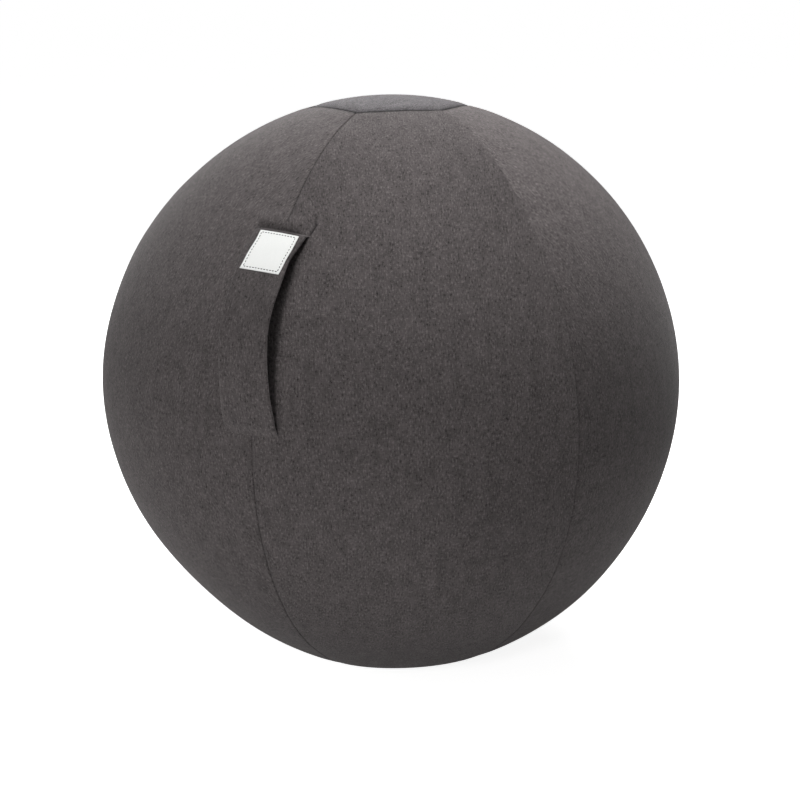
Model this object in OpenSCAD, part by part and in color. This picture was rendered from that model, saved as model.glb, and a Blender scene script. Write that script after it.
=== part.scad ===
// Covered sitting ball: an inflated bladder in a zipped cloth cover with a carry strap.
// Millimetres, +Z up. The origin is the middle of the flat patch that the ball rests on.
// The carry strap faces -Y and the zip faces +Y. Angles along a seam count from the top of the ball.

/* [Ball] */
// Diameter of the covered ball
ball_d = 650; // [500:5:800]
// Diameter of the flat patch that the ball rests on
rest_d = 92; // [60:1:130]
// Thickness of the cover cloth with its backing
cover_t = 1.6; // [1.2:0.1:2.4]
// Room between the cover and the bladder
bladder_gap = 0.8; // [0.7:0.05:0.95]
// Wall of the bladder
bladder_t = 1; // [0.8:0.1:2]

/* [Cover panels] */
// Width of the hexagonal end panels across their corners
end_panel_w = 187; // [140:1:230]

/* [Carry strap] */
// Width of the strap
strap_w = 54; // [50:1:70]
// Thickness of the strap, cloth and core together
strap_t = 3.6; // [3:0.1:5]
// Thickness of the strap's cloth sleeve
sleeve_t = 0.8; // [0.5:0.1:1]
// Width of the webbing core
core_w = 48; // [40:1:49]
// Height of the arch between the cover and the strap
strap_rise = 26; // [20:1:40]
// Angle of the strap's upper sewn end from the top of the ball
strap_from = 48.7; // [44:0.1:54]
// Angle of the strap's lower sewn end from the top of the ball
strap_to = 86; // [80:0.1:92]
// Length of the middle stretch that a hand holds
grip_l = 72; // [50:1:80]
// Length of the hem folded under each end
hem_l = 12; // [8:1:20]
// Thickness of the folded hem
hem_t = 1.2; // [0.8:0.1:2]

/* [Label] */
// Width of the label
label_w = 44; // [30:1:48]
// Height of the label
label_h = 46.5; // [30:0.5:48]
// Thickness of the label
label_t = 0.8; // [0.4:0.1:1.5]
// Distance from the strap's upper end to the label
label_drop = 13; // [8:0.5:16]
// Offset of the label from the middle of the strap
label_shift = 0.5; // [-2:0.5:2]

/* [Zip] */
// Angle of the zip's upper end from the top of the ball
zip_from = 93; // [88:1:105]
// Angle of the zip's lower end from the top of the ball
zip_to = 152; // [135:1:154]
// Width of the slot in the cover that shows the teeth
slot_w = 10; // [9.6:0.1:14]
// Width of each tape
tape_w = 14; // [11:0.5:20]
// Thickness of the tape
tape_t = 0.5; // [0.3:0.05:0.55]
// Spacing of the teeth along each tape
tooth_pitch = 3.4; // [3.2:0.1:4]
// Height of the teeth
tooth_h = 2.2; // [1.8:0.1:3]
// Reach of a tooth from the middle of the zip to its root
tooth_reach = 3.2; // [2.8:0.1:3.4]

/* [Slider and pull] */
// Length of the slider
slider_l = 13; // [10:0.5:20]
// Width of the slider's plate
slider_w = 11; // [9.6:0.1:16]
// Thickness of the slider's plate and of its side flanges
slider_t = 1.2; // [0.9:0.1:1.2]
// Diameter of the pull's hinge bar
bar_d = 1.6; // [1.2:0.1:2.4]
// Width of the bridge that holds the hinge bar
bridge_w = 2.4; // [1.6:0.1:3]
// Length of the pull from its hinge
pull_l = 28; // [20:1:32]
// Width of the pull
pull_w = 7.5; // [7:0.1:10]
// Diameter of the hole in the pull's tip
pull_hole_d = 3; // [2:0.1:3.6]

/* [Valve] */
// Angle of the valve from the top of the ball
valve_at = 125; // [110:1:140]
// Diameter of the plug's head
plug_head_d = 16; // [13:0.5:20]
// Thickness of the plug's head
plug_head_t = 1.4; // [1:0.1:2]
// Diameter of the plug's ribs
plug_d = 9; // [7:0.1:10]
// Length of the plug's stem
plug_l = 16; // [10:1:24]
// Diameter of the seat's flange inside the bladder
seat_flange_d = 34; // [30:1:44]
// Thickness of the seat's flange
seat_flange_t = 2.5; // [1.5:0.1:4]

/* [Hidden] */

$fn = 96;
gore_count = 6;
gore_angle = 360 / gore_count;
// Gap between cloth surfaces that lie on each other
lay = 0.1;
// Running clearance between parts that slide or turn on each other
run = 0.3;

ball_r = ball_d / 2;
centre_z = sqrt(pow(ball_r, 2) - pow(rest_d / 2, 2));
cover_in_r = ball_r - cover_t;
bladder_r = cover_in_r - bladder_gap;
bladder_in_r = bladder_r - bladder_t;
reach = 2 * ball_r;

// Degrees along a seam that a length on the cover spans
function seam_deg(length) = length / ball_r * 180 / PI;

// Places children, modelled at the top of the ball, on the strap's seam or the zip's seam.
module on_strap_seam(angle) {
    translate([0, 0, centre_z]) rotate([angle, 0, 0]) children();
}
module on_zip_seam(angle) {
    translate([0, 0, centre_z]) rotate([-angle, 0, 0]) children();
}

// A pie slice of the plane through the ball's middle, thick across X, between two angles.
module slice(from, to, thick, side) {
    middle = (from + to) / 2;
    half = (to - from) / 2;
    translate([0, 0, centre_z]) rotate([90, 0, 90]) linear_extrude(thick, center = true)
        polygon([[0, 0],
            for (a = [middle - half, middle, middle + half])
                [side * reach * sin(a), reach * cos(a)] / cos(half / 2)]);
}

// A ball round the middle, cut flat at a height above the floor.
module flat_ball(r, floor_z) {
    intersection() {
        translate([0, 0, centre_z]) sphere(r);
        translate([-reach, -reach, floor_z]) cube([2 * reach, 2 * reach, 2 * reach]);
    }
}

module cover_shell() {
    difference() {
        flat_ball(ball_r, 0);
        flat_ball(cover_in_r, cover_t);
    }
}

// The six-sided column that parts the end panels from the gores. Its corners lie on the seams.
module panel_column() {
    rotate(gore_angle / 2) translate([0, 0, -reach])
        cylinder(h = 3 * reach, d = end_panel_w, $fn = gore_count);
}

// The slot that two gores leave for the zip's teeth, a little longer than the zip.
slot_past = 4;
zip_margin = seam_deg(slot_past);
module zip_slot() {
    slice(zip_from - zip_margin, zip_to + zip_margin, slot_w, 1);
}

// One gore. Gores are counted round from the strap's seam.
module gore(number) {
    turn = -90 + gore_angle * (number - 0.5);
    half = gore_angle / 2;
    rotate(turn) difference() {
        intersection() {
            cover_shell();
            linear_extrude(reach) polygon([[0, 0], reach * [cos(half), -sin(half)],
                reach * [cos(half), sin(half)]]);
        }
        panel_column();
        if (number == 3 || number == 4) rotate(-turn) zip_slot();
    }
}
module gore_1() { color([0.31, 0.29, 0.29]) gore(1); }
module gore_2() { color([0.29, 0.27, 0.27]) gore(2); }
module gore_3() { color([0.31, 0.29, 0.29]) gore(3); }
module gore_4() { color([0.29, 0.27, 0.27]) gore(4); }
module gore_5() { color([0.31, 0.29, 0.29]) gore(5); }
module gore_6() { color([0.29, 0.27, 0.27]) gore(6); }

module top_panel() {
    color([0.36, 0.34, 0.34]) intersection() {
        cover_shell();
        panel_column();
        translate([-reach, -reach, centre_z]) cube([2 * reach, 2 * reach, reach]);
    }
}
module bottom_panel() {
    color([0.26, 0.25, 0.25]) intersection() {
        cover_shell();
        panel_column();
        translate([-reach, -reach, 0]) cube([2 * reach, 2 * reach, centre_z]);
    }
}

// The strap is drawn side on in the plane of its seam, with its curve worked out in steps.
// A larger arch power makes the strap's ends leave the ball more gently.
strap_steps = 40;
arch_power = 1.3;
strap_seat_r = ball_r + lay + hem_t + lay;
function arch(angle) =
    strap_rise * pow(sin(180 * (angle - strap_from) / (strap_to - strap_from)), arch_power);
function strap_point(angle, height) =
    (strap_seat_r + arch(angle) + height) * [-sin(angle), cos(angle)];
// Outline of a band that follows the strap, between two angles and two heights over its inner face.
module strap_band(from, to, low, high, width) {
    step = (strap_to - strap_from) / strap_steps;
    too_near = step / 9;
    angles = [from, for (i = [0:strap_steps]) if (strap_from + i * step > from + too_near
        && strap_from + i * step < to - too_near) strap_from + i * step, to];
    last = len(angles) - 1;
    translate([0, 0, centre_z]) rotate([90, 0, 90]) linear_extrude(width, center = true)
        polygon([for (a = angles) strap_point(a, low),
            for (i = [0:last]) strap_point(angles[last - i], high)]);
}
// The straight way in and out of the middle of the strap, which cuts it into two legs and a grip.
grip_at = (strap_from + strap_to) / 2;
module grip_way(length) {
    on_strap_seam(grip_at) translate([-strap_w, -length / 2, 0]) cube([2 * strap_w, length, reach]);
}
module sleeve() {
    closed = seam_deg(sleeve_t + lay);
    difference() {
        strap_band(strap_from, strap_to, 0, strap_t, strap_w);
        strap_band(strap_from + closed, strap_to - closed, sleeve_t, strap_t - sleeve_t, core_w + 2 * lay);
    }
}
module core() {
    closed = seam_deg(sleeve_t + 2 * lay);
    strap_band(strap_from + closed, strap_to - closed, sleeve_t + lay, strap_t - sleeve_t - lay, core_w);
}
// The two halves of the strap's room. Each goes some degrees past its end of the strap.
past_end = 20;
module upper_half() {
    slice(strap_from - past_end, grip_at, 2 * strap_w, -1);
}
module lower_half() {
    slice(grip_at, strap_to + past_end, 2 * strap_w, -1);
}
module strap_upper_leg() {
    color([0.32, 0.30, 0.30]) difference() {
        sleeve();
        grip_way(grip_l + 2 * run);
        lower_half();
    }
}
module strap_grip() {
    color([0.34, 0.32, 0.32]) intersection() {
        sleeve();
        grip_way(grip_l);
    }
}
module strap_lower_leg() {
    color([0.32, 0.30, 0.30]) difference() {
        sleeve();
        grip_way(grip_l + 2 * run);
        upper_half();
    }
}
module upper_leg_core() {
    color([0.12, 0.12, 0.12]) difference() {
        core();
        grip_way(grip_l + 2 * run);
        lower_half();
    }
}
module grip_core() {
    color([0.12, 0.12, 0.12]) intersection() {
        core();
        grip_way(grip_l);
    }
}
module lower_leg_core() {
    color([0.12, 0.12, 0.12]) difference() {
        core();
        grip_way(grip_l + 2 * run);
        upper_half();
    }
}

// A hem is a patch of folded cloth that lies on the cover under the strap's end.
hem_side = 2;
module hem(from, to) {
    intersection() {
        difference() {
            translate([0, 0, centre_z]) sphere(ball_r + lay + hem_t);
            translate([0, 0, centre_z]) sphere(ball_r + lay);
        }
        slice(from, to, strap_w - 2 * hem_side, -1);
    }
}
module upper_hem() {
    color([0.22, 0.21, 0.21]) hem(strap_from, strap_from + seam_deg(hem_l));
}
module lower_hem() {
    color([0.22, 0.21, 0.21]) hem(strap_to - seam_deg(hem_l), strap_to);
}

// The label lies on the upper leg. On a small ball it is cut short, to stay clear of the grip.
grip_room = 1;
module label() {
    from = strap_from + seam_deg(label_drop);
    to = min(from + seam_deg(label_h), grip_at - asin((grip_l / 2 + grip_room) / strap_seat_r));
    color([0.93, 0.93, 0.91]) translate([label_shift, 0, 0])
        strap_band(from, to, strap_t + lay, strap_t + lay + label_t, label_w);
}

// The tapes lie between the cover and the bladder, and the teeth stand on them in the slot.
// Each tape stops short of the zip's middle, and goes on past both ends of the teeth.
tape_r = cover_in_r - (bladder_gap - tape_t) / 2;
tape_edge = 0.6;
tape_past = 10;
tape_over = seam_deg(tape_past);
tooth_foot = tape_r + lay / 2;
tooth_step = tooth_pitch / tooth_foot * 180 / PI;
tooth_count = floor((zip_to - zip_from) / tooth_step);
module tape(side) {
    intersection() {
        difference() {
            translate([0, 0, centre_z]) sphere(tape_r);
            translate([0, 0, centre_z]) sphere(tape_r - tape_t);
        }
        slice(zip_from - tape_over, zip_to + tape_over, 4 * tape_w, 1);
        translate([side * (tape_edge + tape_w / 2), 0, centre_z])
            cube([tape_w, 2 * reach, 2 * reach], center = true);
    }
}
module zip_tape_left() { color([0.10, 0.10, 0.10]) tape(-1); }
module zip_tape_right() { color([0.10, 0.10, 0.10]) tape(1); }

// One tooth: a root on its tape, a narrow neck and a head that locks between two teeth opposite.
// The widths are shares of the pitch. The reaches count from the middle of the zip, the first two
// towards the tooth's own tape and the others towards the opposite one.
root_share = 0.44;
neck_share = 0.28;
head_share = 0.42;
tooth_root = tooth_pitch * root_share;
tooth_neck = tooth_pitch * neck_share;
tooth_head = tooth_pitch * head_share;
root_reach = 1.4;
neck_reach = 0.7;
widest_reach = 0.1;
head_reach = 1.1;
module tooth(side) {
    linear_extrude(tooth_h) polygon([
        [side * tooth_reach, -tooth_root / 2], [side * root_reach, -tooth_root / 2],
        [side * neck_reach, -tooth_neck / 2], [-side * widest_reach, -tooth_head / 2],
        [-side * head_reach, -tooth_neck / 2], [-side * head_reach, tooth_neck / 2],
        [-side * widest_reach, tooth_head / 2], [side * neck_reach, tooth_neck / 2],
        [side * root_reach, tooth_root / 2], [side * tooth_reach, tooth_root / 2]]);
}
module teeth(side, start) {
    for (i = [0:tooth_count - 1])
        on_zip_seam(zip_from + (i + start) * tooth_step) translate([0, 0, tooth_foot]) tooth(side);
}
// The two rows start half a pitch apart.
module zip_teeth_left() { color([0.16, 0.16, 0.17]) teeth(-1, 1 / 4); }
module zip_teeth_right() { color([0.16, 0.16, 0.17]) teeth(1, 3 / 4); }

// Length of the stops, and how near the two upper ones come to the zip's middle.
stop_l = 2.2;
stop_in = 0.5;
module zip_top_stops() {
    color([0.55, 0.55, 0.57]) for (side = [-1, 1])
        on_zip_seam(zip_from - seam_deg(stop_l / 2 + run)) translate([side * (stop_in + tooth_reach) / 2, 0,
            tooth_foot + tooth_h / 2]) cube([tooth_reach - stop_in, stop_l, tooth_h], center = true);
}
module zip_bottom_stop() {
    color([0.55, 0.55, 0.57]) on_zip_seam(zip_to + seam_deg(stop_l / 2 + run))
        translate([0, 0, tooth_foot + tooth_h / 2]) cube([2 * tooth_reach, stop_l, tooth_h], center = true);
}

// The slider is closed at the zip's upper end and opens it on its way down. Its travel ends a little
// before the first and the last tooth.
travel_room = 1;
slider_home = zip_from + seam_deg(slider_l / 2 + travel_room);
slider_end = zip_to - seam_deg(slider_l / 2 + travel_room);
// Heights from the ball's middle: the plate over the teeth, the pull's bar, the top of the bridge's window.
plate_z = max(tooth_foot + tooth_h, ball_r) + run + lay;
bar_z = plate_z + slider_t + run + bar_d / 2;
bridge_z = bar_z + bar_d / 2 + run;
// Room along the bridge's window in which the bar can shift, beside its running clearance.
bar_play = 1.6;
bridge_l = bar_d + 2 * run + 2 * slider_t + bar_play;
flange_in = tooth_reach + run;
// The plate's outline: its upper end is a share of its width, and its lower corners are cut off.
nose_share = 0.78;
shoulder_share = 0.12;
plate_cut = 2;
module slider_outline() {
    nose = slider_w * nose_share / 2;
    shoulder = slider_l * shoulder_share;
    side = slider_w / 2;
    end = slider_l / 2;
    polygon([[-nose, end], [-side, -shoulder], [-side, plate_cut - end], [plate_cut - side, -end],
        [side - plate_cut, -end], [side, plate_cut - end], [side, -shoulder], [nose, end]]);
}
// The flanges run beside the teeth, over a share of the plate's length.
flange_share = 0.8;
module slider_at_top() {
    translate([0, 0, plate_z]) linear_extrude(slider_t) slider_outline();
    for (side = [-1, 1]) {
        flange_low = tape_r + run;
        translate([side * (flange_in + slider_t / 2), 0, (flange_low + plate_z + slider_t / 2) / 2])
            cube([slider_t, slider_l * flange_share, plate_z + slider_t / 2 - flange_low],
                center = true);
    }
    difference() {
        translate([-bridge_w / 2, -bridge_l / 2, plate_z + slider_t / 2])
            cube([bridge_w, bridge_l, bridge_z + slider_t - plate_z - slider_t / 2]);
        translate([-bridge_w, -bridge_l / 2 + slider_t, plate_z + slider_t])
            cube([2 * bridge_w, bridge_l - 2 * slider_t, bridge_z - plate_z - slider_t]);
    }
}
module zip_slider() {
    color([0.45, 0.45, 0.47]) on_zip_seam(slider_home) slider_at_top();
}

// The pull hangs straight down from its bar. Here it is drawn along +Y, with the bar at its origin.
pull_t = bar_d;
window_w = bridge_w + 2 * run;
window_l = norm([bridge_l / 2, bridge_z + slider_t - bar_z]) + run - bar_d / 2;
module pull_along_y() {
    difference() {
        union() {
            rotate([0, 90, 0]) cylinder(h = pull_w, d = bar_d, center = true, $fn = 32);
            translate([-pull_w / 2, 0, -pull_t / 2]) cube([pull_w, pull_l - pull_w / 2, pull_t]);
            translate([0, pull_l - pull_w / 2, -pull_t / 2]) cylinder(h = pull_t, d = pull_w, $fn = 48);
        }
        translate([-window_w / 2, bar_d / 2, -pull_t]) cube([window_w, window_l, 2 * pull_t]);
        translate([0, pull_l - pull_w / 2, -pull_t]) cylinder(h = 2 * pull_t, d = pull_hole_d, $fn = 32);
    }
}
module zip_pull() {
    color([0.45, 0.45, 0.47]) translate([0, bar_z * sin(slider_home), centre_z + bar_z * cos(slider_home)])
        rotate([-90, 0, 0]) pull_along_y();
}

// The valve: a seat moulded through the bladder's wall, with a plug pushed into it.
seat_rim = 2;
seat_neck_d = plug_head_d + 2 * seat_rim;
plug_top = bladder_r - lay;
seat_in = plug_top - plug_head_t;
module bladder() {
    color([0.50, 0.50, 0.54]) difference() {
        flat_ball(bladder_r, cover_t);
        flat_ball(bladder_in_r, cover_t + bladder_t);
        on_zip_seam(valve_at) translate([0, 0, bladder_r / 2])
            cylinder(h = bladder_r, d = seat_neck_d + 2 * lay);
    }
}
// The flange lies against the bladder's inner face, and the neck fills the hole in its wall. The plug's
// tip stands out of the seat's tube.
tip_out = 3;
tube_wall = 2.5;
flange_top = sqrt(pow(bladder_in_r, 2) - pow(seat_flange_d / 2, 2)) - lay;
tube_l = plug_l - tip_out;
tube_r = plug_d / 2 + tube_wall;
module valve_seat() {
    color([0.75, 0.75, 0.78]) on_zip_seam(valve_at) rotate_extrude() polygon([
        [plug_d / 2 + lay / 2, seat_in - tube_l], [tube_r, seat_in - tube_l],
        [tube_r, flange_top - seat_flange_t], [seat_flange_d / 2, flange_top - seat_flange_t],
        [seat_flange_d / 2, flange_top], [seat_neck_d / 2, flange_top], [seat_neck_d / 2, plug_top],
        [plug_head_d / 2 + 2 * lay, plug_top], [plug_head_d / 2 + 2 * lay, seat_in - lay],
        [plug_d / 2 + lay / 2, seat_in - lay]]);
}
// The plug's stem has three low ribs and a chamfered tip, and its top is let into the head.
rib_count = 3;
rib_l = 1.2;
rib_rise = 0.4;
stem_in_head = 0.2;
tip_cut = 1;
module valve_plug() {
    stem_r = plug_d / 2 - rib_rise;
    color([0.92, 0.92, 0.92]) on_zip_seam(valve_at) translate([0, 0, seat_in]) {
        cylinder(h = plug_head_t, d = plug_head_d);
        rotate_extrude() polygon([[0, stem_in_head], [stem_r, stem_in_head],
            for (i = [1:rib_count]) for (p = [[0, 0], [rib_rise, -rib_l / 2], [0, -rib_l]])
                [stem_r + p[0], p[1] - i * plug_l / (rib_count + 1)],
            [stem_r, tip_cut - plug_l], [stem_r - tip_cut, -plug_l], [0, -plug_l]]);
    }
}

gore_1();
gore_2();
gore_3();
gore_4();
gore_5();
gore_6();
top_panel();
bottom_panel();
strap_upper_leg();
strap_grip();
strap_lower_leg();
upper_leg_core();
grip_core();
lower_leg_core();
upper_hem();
lower_hem();
label();
zip_tape_left();
zip_tape_right();
zip_teeth_left();
zip_teeth_right();
zip_slider();
zip_pull();
zip_top_stops();
zip_bottom_stop();
bladder();
valve_seat();
valve_plug();
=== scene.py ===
"""The covered sitting ball, dressed and lit. Metres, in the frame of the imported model."""
import bpy
import bmesh
import math
import numpy as np
from mathutils import Matrix, Vector


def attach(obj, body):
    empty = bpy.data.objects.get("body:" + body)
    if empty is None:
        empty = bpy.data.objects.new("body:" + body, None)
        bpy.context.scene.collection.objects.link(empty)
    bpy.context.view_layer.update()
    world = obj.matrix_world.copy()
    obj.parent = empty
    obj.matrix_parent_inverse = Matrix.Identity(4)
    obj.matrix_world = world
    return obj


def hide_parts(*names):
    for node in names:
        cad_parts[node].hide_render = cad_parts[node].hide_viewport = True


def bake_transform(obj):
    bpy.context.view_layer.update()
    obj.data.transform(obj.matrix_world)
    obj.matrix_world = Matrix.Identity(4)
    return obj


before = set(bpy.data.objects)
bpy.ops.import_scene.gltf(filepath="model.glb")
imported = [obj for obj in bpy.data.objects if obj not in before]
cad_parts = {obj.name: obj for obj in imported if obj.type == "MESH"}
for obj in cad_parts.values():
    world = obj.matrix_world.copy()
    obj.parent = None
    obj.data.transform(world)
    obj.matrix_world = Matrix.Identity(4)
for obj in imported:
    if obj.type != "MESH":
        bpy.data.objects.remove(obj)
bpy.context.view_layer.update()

MM = 0.001

# Sizes repeated from the part's source, in metres and radians.
BALL_R = 0.325
REST_R = 0.046
CENTRE_Z = math.sqrt(BALL_R ** 2 - REST_R ** 2)
COVER_T = 0.0016
PANEL_CORNER = 0.0935
STRAP_W = 0.054
STRAP_T = 0.0036
STRAP_SEAT = 0.3264
STRAP_RISE = 0.026
STRAP_FROM = math.radians(48.7)
STRAP_TO = math.radians(86)
CORE_W = 0.048
LABEL_W = 0.044
LABEL_H = 0.0465
LABEL_DROP = 0.013
LABEL_SHIFT = 0.0005
ZIP_FROM = math.radians(93)
ZIP_TO = math.radians(152)
SLOT_W = 0.010
SLOT_MARGIN = 0.004
TAPE_W = 0.014
TAPE_T = 0.0005
TAPE_R = 0.32325
TAPE_EDGE = 0.0006
TAPE_OVER = 0.010
BLADDER_R = 0.3226
BLADDER_T = 0.001
VALVE_AT = math.radians(125)
VALVE_HOLE_R = 0.0101

# Places and directions worked out from them.
HALF_GORE = math.radians(30)
PANEL_FLAT = PANEL_CORNER * math.cos(HALF_GORE)
CENTRE = np.array([0, 0, CENTRE_Z])
GRIP_AT = (STRAP_FROM + STRAP_TO) / 2

# Curves.
WAVE_VALUES = 512


def smooth(t):
    t = np.clip(t, 0, 1)
    return t * t * (3 - 2 * t)


def ramp(value, low, high):
    """A smooth rise from 0 at low to 1 at high. With low above high it falls instead."""
    return smooth((value - low) / (high - low))


def bell(away, width, height=1.0):
    """A bell curve: its full height where away is 0, and 0.37 of it where away is the width."""
    return height * np.exp(-(away / width) ** 2)


def wave(x, seed):
    """Smooth noise from -1 to 1 along a line, with one value for each whole number of x."""
    values = np.random.RandomState(seed).uniform(-1, 1, WAVE_VALUES)
    i = np.floor(x).astype(int)
    here, ahead = values[i % WAVE_VALUES], values[(i + 1) % WAVE_VALUES]
    return here + (ahead - here) * smooth(x - i)


def direction(theta, az, side=1):
    """Directions from the ball's middle. theta is measured from the top, or for side -1 from the bottom."""
    return np.stack([np.sin(theta) * np.cos(az), np.sin(theta) * np.sin(az), side * np.cos(theta)], -1)


def cloth_map(u, v):
    """The cloth's own coordinates, in metres across and along it."""
    return np.stack(np.broadcast_arrays(u, v), -1)


# Meshes.
def linked(name, data):
    thing = bpy.data.objects.new(name, data)
    bpy.context.scene.collection.objects.link(thing)
    return thing


def new_object(name, verts, faces, uv=None, sharp=None, shade=None):
    """A smooth mesh. An edge is sharp where both its ends have the same number over 0 in sharp."""
    mesh = bpy.data.meshes.new(name)
    mesh.from_pydata(verts.tolist(), [], faces)
    mesh.polygons.foreach_set("use_smooth", [True] * len(mesh.polygons))
    if uv is not None:
        corner = np.empty(len(mesh.loops), int)
        mesh.loops.foreach_get("vertex_index", corner)
        shade = np.zeros(len(verts)) if shade is None else shade
        for layer, pairs in (("cloth", uv / MM), ("shade", np.stack([shade, shade], -1))):
            mesh.uv_layers.new(name=layer).data.foreach_set("uv", pairs[corner].astype(np.float32).ravel())
    if sharp is not None:
        ends = np.empty(2 * len(mesh.edges), int)
        mesh.edges.foreach_get("vertices", ends)
        ends = sharp[ends.reshape(-1, 2)]
        flag = mesh.attributes.new("sharp_edge", "BOOLEAN", "EDGE")
        flag.data.foreach_set("value", (ends[:, 0] > 0) & (ends[:, 0] == ends[:, 1]))
    mesh.validate()
    return linked(name, mesh)


def quads(rows, cols, ring, start=0, flip=False):
    """Faces of a grid of points, closed into a ring if asked. start is its first point's number."""
    r, c = np.meshgrid(np.arange(rows - 1), np.arange(cols if ring else cols - 1), indexing="ij")
    a = start + r * cols + c
    b = start + r * cols + (c + 1) % cols
    out = np.stack([a, a + cols, b + cols, b], -1).reshape(-1, 4)
    return (out[:, ::-1] if flip else out).tolist()


def closed_tube(rows, cols, start=0):
    """Faces of a tube of rings with closed ends."""
    last = start + (rows - 1) * cols
    ends = [[start + c for c in range(cols)], [last + c for c in reversed(range(cols))]]
    return quads(rows, cols, True, start) + ends


def shell(name, outer, inner, uv, ring=False, shade=None):
    """A closed piece of cloth between two grids, with sharp edges round its rim."""
    rows, cols = outer.shape[:2]
    count = rows * cols
    at = np.arange(count).reshape(rows, cols)
    faces = quads(rows, cols, ring) + quads(rows, cols, ring, count, True)
    rims = [at[0][::-1], at[-1]]
    if ring:
        rims = [np.append(rim, rim[0]) for rim in rims]
    else:
        rims += [at[:, 0], at[::-1, -1]]
    for rim in rims:
        faces += [[int(b), int(a), int(a) + count, int(b) + count] for a, b in zip(rim[:-1], rim[1:])]
    edge = np.isin(at.ravel(), np.concatenate(rims)).astype(int)
    sharp = np.concatenate([edge, 2 * edge])
    verts = np.concatenate([outer.reshape(-1, 3), inner.reshape(-1, 3)])
    if shade is not None:
        shade = np.tile(shade.ravel(), 2)
    return new_object(name, verts, faces, np.concatenate([uv.reshape(-1, 2)] * 2), sharp, shade)


def dome(name, outer, inner, uv, shade, flip):
    """A round piece of cloth between two grids of rings, each closed by a point in its first ring."""
    rows, cols = outer.shape[:2]
    count = rows * cols
    faces = quads(rows, cols, True, 0, flip) + quads(rows, cols, True, count, not flip)
    last = (rows - 1) * cols
    for c in range(cols):
        b = (c + 1) % cols
        rim = [last + c, last + b, count + last + b, count + last + c]
        faces.append(rim if flip else rim[::-1])
    for face in (0, 1):
        for c in range(cols):
            fan = [2 * count + face, face * count + c, face * count + (c + 1) % cols]
            faces.append(fan if (face == 0) != flip else fan[::-1])
    poles = [outer[0].mean(0), inner[0].mean(0)]
    verts = np.concatenate([outer.reshape(-1, 3), inner.reshape(-1, 3), poles])
    edge = (np.arange(count) >= last).astype(int)
    sharp = np.concatenate([edge, 2 * edge, [0, 0]])
    uv = np.concatenate([uv.reshape(-1, 2)] * 2 + [uv[0].mean(0)[None]] * 2)
    shade = np.concatenate([np.tile(shade.ravel(), 2), [0, 0]])
    return new_object(name, verts, faces, uv, sharp, shade)


# The cover. Its grid lines are given by their distance from a seam, closest where the cloth turns in.
TURNED_IN = [0, 0.06, 0.2, 0.45, 0.8, 1.2, 1.6, 2.1, 2.9, 4.2, 6.2]
NEAR_SEAM = np.array(TURNED_IN + [8.5, 9.8, 10.6, 11.4, 12.4, 14, 18, 24]) * MM
NEAR_STRAP = np.array(TURNED_IN + [9, 12, 16, 20, 23, 25.5, 27, 28, 29, 30, 31, 32, 33, 34.5, 37, 42]) * MM
NEAR_END = np.array(TURNED_IN + [9]) * MM
GORE_STEP = 4 * MM
FINE_STEP = 0.8 * MM
STEP_GROWS = 0.35
STRAP_FOCUS = 8 * MM
ZIP_FOCUS, ZIP_FOCUS_OUT = 5 * MM, 6 * MM
GORE_COLUMNS = 28
GRID_ROUNDS = 6
PANEL_COLUMNS = 34
PANEL_ROWS = 24
PANEL_FIRST = 0.04
THIN = 0.8 * MM
OFF_BLADDER = 0.2 * MM

# Gore 1 is right of the strap's seam and the numbers go on to its right. A seam has the number of the gore at
# its left, and the strap's seam is 0. ZIPPED says on which side of a gore the zip is.
ZIP_SEAM = 3
ZIPPED = {3: 1, 4: -1}
STRAPPED = (1, 6)
SEAM_DEPTH = 1.7 * MM
SEAM_ROLL = 2.1 * MM
SLOT_DEPTH = 0.9 * MM
SLOT_TAPER = 5 * MM
TOPSTITCH_IN = 2.6 * MM
TOPSTITCH_DENT = 0.35 * MM
ALLOWANCE_W = 10.9 * MM
# How dark the painted shade is in the seams' creases and along the allowance's edge.
SEAM_DARK = 0.38
SOFT_SEAM_DARK = 0.22
ALLOWANCE_DARK = 0.15
PANEL_SEAM_DARK = 0.9

# Puckers along a seam: their height, length and reach from the seam, and what they add to the seed.
PUCKERS = ((0.20 * MM, 6.5 * MM, 7 * MM, 0), (0.32 * MM, 24 * MM, 26 * MM, 50))
SIDE_SEED = 11
END_SEED = 31
END_PHASE = 0.3
LOW_PUCKERS = 0.8

# How far apart the pieces lie in the cloth map, in metres.
GORE_UV_STEP = 0.4
PANEL_UV_STEP = 3

# The inflated ball isn't quite round: (azimuth, angle from the top, height, spread), in degrees and mm.
UNEVEN = [(-145, 85.6, 4.8, 17), (-151, 60.6, 2.5, 15), (-128, 129.9, -5.7, 17), (-83, 154, 2.6, 11),
          (-36, 152, 3.6, 13), (-7, 137, 1.8, 14), (16, 88, 1.1, 17)]

# How the top panel is sewn in off the ball's top: a shift in X and in Y, each with its change along X and Y.
# The change stops at LEAN_EDGE, a share of the ball's radius, and all fades over the angles LEAN_FADES.
LEAN = ((-0.023, -0.0212, -0.0828), (0.0672, -0.0167, 0.1288))
LEAN_EDGE = 0.292
LEAN_FADES = (18, 52)

# How far each of the top panel's edges is pulled outwards in its middle, by gore.
BOWS = np.array([7.5, 6.9, 6.5, 6.5, 6.5, 4.2]) * MM

# The bottom panel's flat face: how high it lies, and how softly the ball rounds into it.
FLOOR_GAP = 0.15 * MM
FLOOR_ROUND = 0.35 * MM


def spaced(length, near, focus):
    """Places along a length: fine near both ends and round each focus (place, reach)."""
    places = list(near)
    while places[-1] < length - near[-1]:
        here = places[-1]
        size = GORE_STEP
        for place, reach in focus:
            size = min(size, FINE_STEP + max(0, abs(here - place) - reach) * STEP_GROWS)
        places.append(here + size)
    keep = [p for p in places if p < length - near[-1] - 0.5 * MM]
    return np.array(keep + [length - p for p in reversed(near)])


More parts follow.
